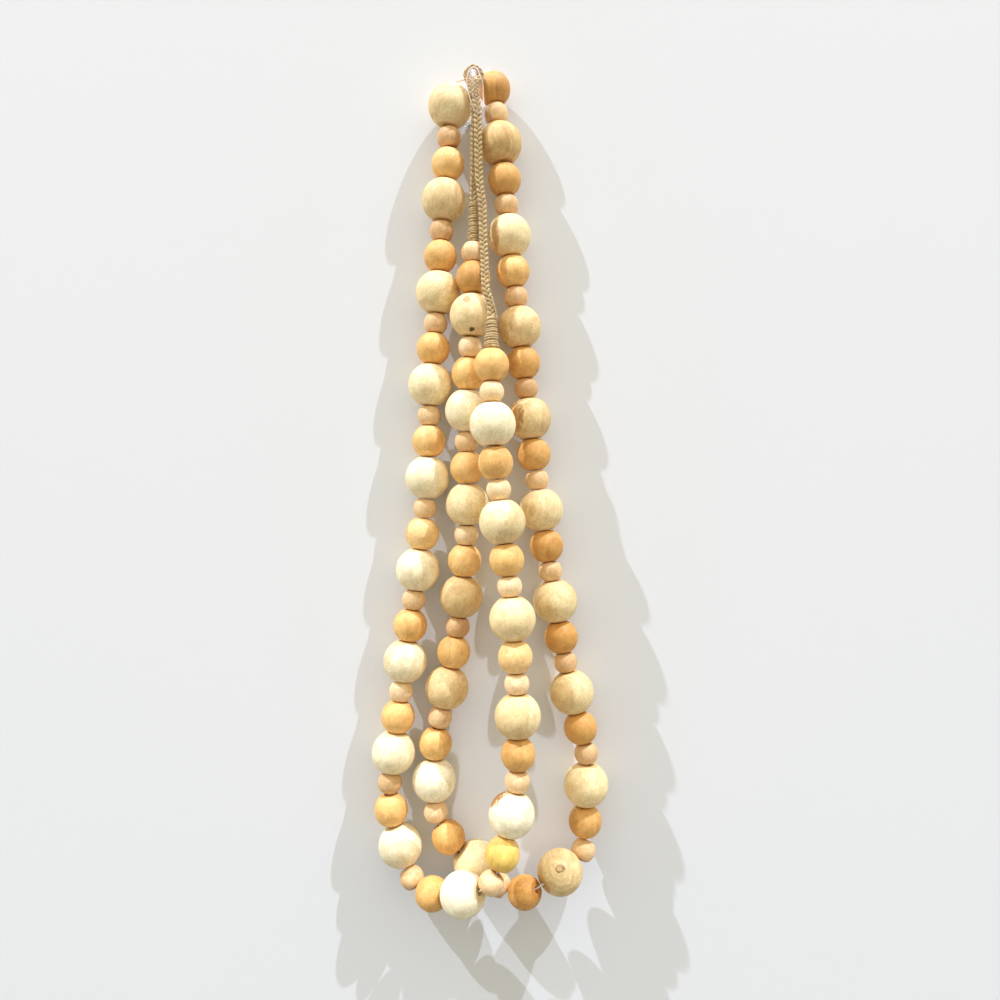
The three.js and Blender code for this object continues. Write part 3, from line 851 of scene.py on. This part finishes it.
def makeBeads(kind, draws):
    tones = {key: np.array(linear(code)) for key, code in woodTones[kind].items()}
    vectors = {"grainPlace": []} | {f"markPlace{mark}": [] for mark in range(marksPerBead)}
    colours = {"stain": []} | {f"markAndShadeTint{mark}": [] for mark in range(marksPerBead)}
    points, faces, count = [], [], 0
    for bead in beads:
        if bead["kind"] != kind:
            continue
        number = bead["serial"] - 1
        sides = beadSizes[kind]["sides"]
        profile = beadProfile(bead)
        angles = 2 * math.pi * np.arange(sides) / sides
        out, up = profile[:, :1], np.repeat(profile[:, 1:], sides, axis=1)
        local = np.stack([out * np.cos(angles), up, out * np.sin(angles)], axis=2).reshape(-1, 3)
        turned = local @ turnBetween(bead["axis"], draws.uniform(0, 2 * math.pi)).T
        points.append(turned + bead["middle"])
        faces.append(ringQuads(len(profile), sides, closed=True) + count)
        # each bead is cut from its own part of its own branch
        tilts = [Matrix.Rotation(draws.gauss(0, tilt), 3, axis)
                 for tilt, axis in zip(woodGrain["tilts"], "XZ")]
        ranges = (woodGrain["fromPith"], woodGrain["alongBranch"], woodGrain["fromPith"])
        offset = np.array([draws.uniform(*reach) for reach in ranges])
        grain = local @ np.array(tilts[0] @ tilts[1]).T + offset
        if number in endGrainBeads:
            grain = turned + endGrainBeads[number]
        vectors["grainPlace"].append(grain)
        for mark, (place, tint) in enumerate(beadMarks(bead, points[-1])):
            vectors[f"markPlace{mark}"].append(place)
            colours[f"markAndShadeTint{mark}"].append(tint)
        tone = beadTones.get(number, draws.uniform(-toneSpread, toneSpread))
        other = tones["pale"] if tone > 0 else tones["dark"]
        stain = tones["usual"] + (other - tones["usual"]) * abs(tone)
        stain[3] = figuredBeads.get(number, plainRings)
        tinted = np.tile(stain, (len(local), 1))
        # the bored ends are darkened: partly their end grain, partly painted shade in the gaps between
        # neighbouring beads
        endFrom = strand["endGrainAndShadeFrom"] * bead["half"] - strand["boreLip"]
        onEndGrainAndShade = np.repeat(np.abs(profile[:, 1]) > endFrom, sides)
        tinted[onEndGrainAndShade, :3] *= woodGrain["endGrainAndGapShade"]
        colours["stain"].append(tinted)
        count += len(local)
    made = meshFrom(kind + "Beads", np.vstack(points), np.vstack(faces), wood,
                    vectors={key: np.vstack(rows) for key, rows in vectors.items()},
                    colours={key: np.vstack(rows) for key, rows in colours.items()})
    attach(made, "root")
    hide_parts(*sorted(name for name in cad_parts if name.startswith("beads_")))


for number, kind in enumerate(("large", "medium", "small")):
    makeBeads(kind, random.Random(woodGrain["seed"] + number))
print("beads turned")

hookSizes = {
    "plate": {"width": 13, "height": 30, "thickness": 2, "corner": 4, "cornerPoints": 8},
    "peg": {"radius": 2, "height": 5.2, "sides": 32},
    "guard": {"out": 25.9, "thickness": 2, "samples": 4},
    "edge": 0.8,  # how far the moulded edges are rounded
    "edgeSteps": 4,
    "flatInset": 1.3,  # where each flat face starts inside its outline, in roundings
    "sharpFrom": 40,  # degrees between two faces
}

# The clear guard's outline, from its round tip above the peg down to its pointed foot.
# Columns: x, z.
guardOutline = [
    (0.3, 8.1),
    (2.6, 6.9),
    (3.9, 3.6),
    (5.5, -0.5),
    (6, -8),
    (6.3, -13.6),
    (5.4, -15.4),
    (3, -17.6),
    (0.6, -16),
    (-0.5, -14.2),
    (-2, -9.5),
    (-3.2, -4.5),
    (-3.9, 0),
    (-3.3, 4),
    (-2, 6.9),
]


def makeClearPlasticMaterial():
    # Moulded clear polycarbonate: glass-smooth and colourless, seen only by its bright edges.
    made, tree = newMaterial("polycarbonateMouldedClear")
    place = add(tree, "TexCoord").outputs["Object"]
    haze = add(tree, "TexNoise", {"Vector": place, "Scale": 300, "Detail": 2})
    rough = add(tree, "MapRange", {"Value": haze.outputs["Fac"], 1: 0.3, 2: 0.7, 3: 0.0, 4: 0.03})
    # painted highlight: at a glancing view the moulded edges are made less clear and pale, thin lines that
    # stand in for the light they catch
    facing = add(tree, "LayerWeight", {"Blend": 0.7}).outputs["Facing"]
    clearness = add(tree, "MapRange", {"Value": facing, 1: 0.15, 2: 0.6, 3: 1, 4: 0.5})
    surface = add(tree, "BsdfPrincipled", {
        "Base Color": linear("#fdf9f6"), "Roughness": rough,
        "Transmission Weight": clearness, "IOR": 1.4,
    })
    clear = add(tree, "BsdfTransparent")
    # lamps shine through it, as they do through the real one
    shadow = add(tree, "LightPath").outputs["Is Shadow Ray"]
    both = add(tree, "MixShader", {0: shadow, 1: surface, 2: clear})
    add(tree, "OutputMaterial", {"Surface": both})
    return made


clearPlastic = makeClearPlasticMaterial()


def roundedSlab(name, outline, fromOut, toOut):
    # a slab with this outline in x and z, between two distances out from the wall, with rounded edges
    outline = np.array(outline, float)
    edge, flatInset = hookSizes["edge"], hookSizes["flatInset"]
    along = np.roll(outline, -1, axis=0) - np.roll(outline, 1, axis=0)
    outward = unit(np.stack([along[:, 1], -along[:, 0]], axis=1))
    if (outward * (outline - outline.mean(axis=0))).sum() < 0:
        outward = -outward
    angles = np.linspace(0, math.pi / 2, hookSizes["edgeSteps"] + 1)
    section = [(-flatInset * edge, fromOut)]
    section += [(edge * (math.sin(a) - 1), fromOut + edge * (1 - math.cos(a))) for a in angles]
    section += [(inset, fromOut + toOut - out) for inset, out in section[::-1]]
    count = len(outline)
    rings = []
    for inset, out in section:
        flat = outline + outward * inset
        rings.append(np.stack([flat[:, 0], np.full(count, -out), flat[:, 1]], axis=1))
    faces = [list(range(count)), [(len(rings) - 1) * count + c for c in range(count)][::-1]]
    faces += ringQuads(len(rings), count)[:, [1, 0, 3, 2]].tolist()
    made = meshFrom(name, np.vstack(rings), faces, clearPlastic)
    shell = bmesh.new()
    shell.from_mesh(made.data)
    bmesh.ops.recalc_face_normals(shell, faces=shell.faces)
    shell.to_mesh(made.data)
    shell.free()
    return made


def circlePoints(middle, radius, count, start=0.0, share=1.0):
    angles = start + 2 * math.pi * share * np.arange(count) / count
    return [(middle[0] + radius * math.cos(a), middle[1] + radius * math.sin(a)) for a in angles]


def plateCorners(plate):
    side, end = plate["width"] / 2 - plate["corner"], plate["height"] / 2 - plate["corner"]
    count = plate["cornerPoints"]
    share = count / (count - 1) / 4  # so that the last point ends the quarter circle
    outline = []
    for quarter, (x, z) in enumerate(((side, end), (-side, end), (-side, -end), (side, -end))):
        outline += circlePoints((x, z), plate["corner"], count, quarter * math.pi / 2, share)
    return outline


def smoothGuard(samples):
    # the outline runs on past both its ends for the curve, so that it closes smoothly
    overlap = 2
    closed = guardOutline[-overlap:] + guardOutline + guardOutline[:overlap]
    rows = routeRows([(x, 0, z) for x, z in closed])
    first = overlap * samples
    return smoothPath(rows, samples)[first:first + len(guardOutline) * samples][:, [0, 2]]


def makeHook():
    plate, peg, guard = hookSizes["plate"], hookSizes["peg"], hookSizes["guard"]
    pegOutline = circlePoints((0, peg["height"]), peg["radius"], peg["sides"])
    made = roundedSlab("hookMoulded", plateCorners(plate), 0, plate["thickness"])
    guardFront = guard["out"] + guard["thickness"]
    pegFrom, pegTo = plate["thickness"] / 2, guard["out"] + guard["thickness"] / 2
    others = [
        roundedSlab("pegPart", pegOutline, pegFrom, pegTo),
        roundedSlab("guardPart", smoothGuard(guard["samples"]), guard["out"], guardFront),
    ]
    for other in others:
        union = made.modifiers.new("union", "BOOLEAN")
        union.operation, union.solver, union.object = "UNION", "MANIFOLD", other
    scene.view_layers[0].update()
    evaluated = made.evaluated_get(bpy.context.evaluated_depsgraph_get())
    mesh = bpy.data.meshes.new_from_object(evaluated)
    made.modifiers.clear()
    # flat faces stay flat to look through
    mesh.set_sharp_from_angle(angle=math.radians(hookSizes["sharpFrom"]))
    made.data = mesh
    for other in others:
        bpy.data.objects.remove(other)
    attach(made, "root")
    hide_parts("hook")


makeHook()
print("hook moulded")

stage = {
    "wall": "#e0e0de",
    "floor": "#9c9c99",
    "wallDimmed": 1.0,  # how much of its colour the wall sends back onto the garland, out of 1
    "floorDimmed": 0.416,
    # metres
    "floorHeight": -0.62,
    "reach": 3.0,
    "wallGap": 0.0003,
}


def makeStageMaterial(name, colour, dimmed, seeThroughBack):
    # Matt emulsion paint on plaster, with the faint nap of a roller. What it sends back onto the
    # garland is dimmed, as if the room went on, while the camera sees the colour itself.
    made, tree = newMaterial(name)
    seen = add(tree, "LightPath").outputs["Is Camera Ray"]
    shade = add(tree, "MapRange", {"Value": seen, 1: 0, 2: 1, 3: dimmed, 4: 1})
    tint = add(tree, "VectorMath", {0: linear(colour)[:3], 1: shade}, operation="MULTIPLY")
    place = add(tree, "TexCoord").outputs["Object"]
    nap = add(tree, "TexNoise", {"Vector": place, "Scale": 260, "Detail": 3})
    bump = add(tree, "Bump", {"Strength": 0.12, "Distance": 0.0002, "Height": nap.outputs["Fac"]})
    surface = add(tree, "BsdfPrincipled", {
        "Base Color": tint, "Roughness": 0.75, "Specular IOR Level": 0.2, "Normal": bump,
    })
    if seeThroughBack:
        clear = add(tree, "BsdfTransparent")
        behind = add(tree, "NewGeometry").outputs["Backfacing"]
        surface = add(tree, "MixShader", {0: behind, 1: surface, 2: clear})
    add(tree, "OutputMaterial", {"Surface": surface})
    return made


def makeStage():
    reach, low, gap = stage["reach"] / mm, stage["floorHeight"] / mm, stage["wallGap"] / mm
    square = [(0, 1, 2, 3)]
    wallPoints = [(-reach, gap, low), (reach, gap, low), (reach, gap, reach), (-reach, gap, reach)]
    wallPaint = makeStageMaterial("emulsionPaintWall", stage["wall"], stage["wallDimmed"], True)
    wall = meshFrom("wall", wallPoints, square, wallPaint)
    floorPoints = [(-reach, -reach, low), (reach, -reach, low), (reach, gap, low), (-reach, gap, low)]
    floorPaint = makeStageMaterial("paintedFloor", stage["floor"], stage["floorDimmed"], False)
    floor = meshFrom("floor", floorPoints, square, floorPaint)


lamps = {
    # the way each far lamp lies, and how strong it is on a surface that faces it
    "upperLeft": {"way": (-1.93, -1, 3.1), "strength": 2.92},
    "upperRight": {"way": (1.34, -1, 3.3), "strength": 2.92},
}
lampColour = (0.755, 0.82, 1.0)
lampWidth = 0.009  # radians across, which softens the shadow edges
sky = {
    # the light that comes from each height: the lower, the warmer
    "above": (1.3, 1.25, 1.1),
    "level": (0.93, 0.892, 0.76),
    "below": (0.24, 0.19, 0.12),
    "seen": "#f2f2f0",  # past the edge of the wall and floor
}


def makeLights():
    for name, lamp in lamps.items():
        data = bpy.data.lights.new(name, "SUN")
        data.energy = lamp["strength"]
        data.angle = lampWidth
        data.color = lampColour
        made = bpy.data.objects.new(name, data)
        made.rotation_mode = "QUATERNION"
        made.rotation_quaternion = Vector(lamp["way"]).to_track_quat("Z", "Y")
        scene.collection.objects.link(made)
    world = bpy.data.worlds.new("softRoom")
    world.use_nodes = True
    scene.world = world
    tree = world.node_tree
    tree.nodes.clear()
    way = add(tree, "TexCoord").outputs["Generated"]
    height = add(tree, "SeparateXYZ", {0: way}).outputs["Z"]
    ramp = add(tree, "ValToRGB", {"Fac": add(tree, "MapRange", {
        "Value": height, 1: -1, 2: 1, 3: 0, 4: 1})})
    elements = ramp.color_ramp.elements
    elements[0].position, elements[0].color = 0.0, sky["below"] + (1,)
    elements[1].position, elements[1].color = 1.0, sky["above"] + (1,)
    elements.new(0.5).color = sky["level"] + (1,)
    seen = add(tree, "LightPath").outputs["Is Camera Ray"]
    light = add(tree, "Background", {"Color": ramp, "Strength": 1})
    shown = add(tree, "Background", {"Color": linear(sky["seen"]), "Strength": 1})
    both = add(tree, "MixShader", {0: seen, 1: light, 2: shown})
    add(tree, "OutputWorld", {"Surface": both})


makeStage()
makeLights()
print("stage and lights set")
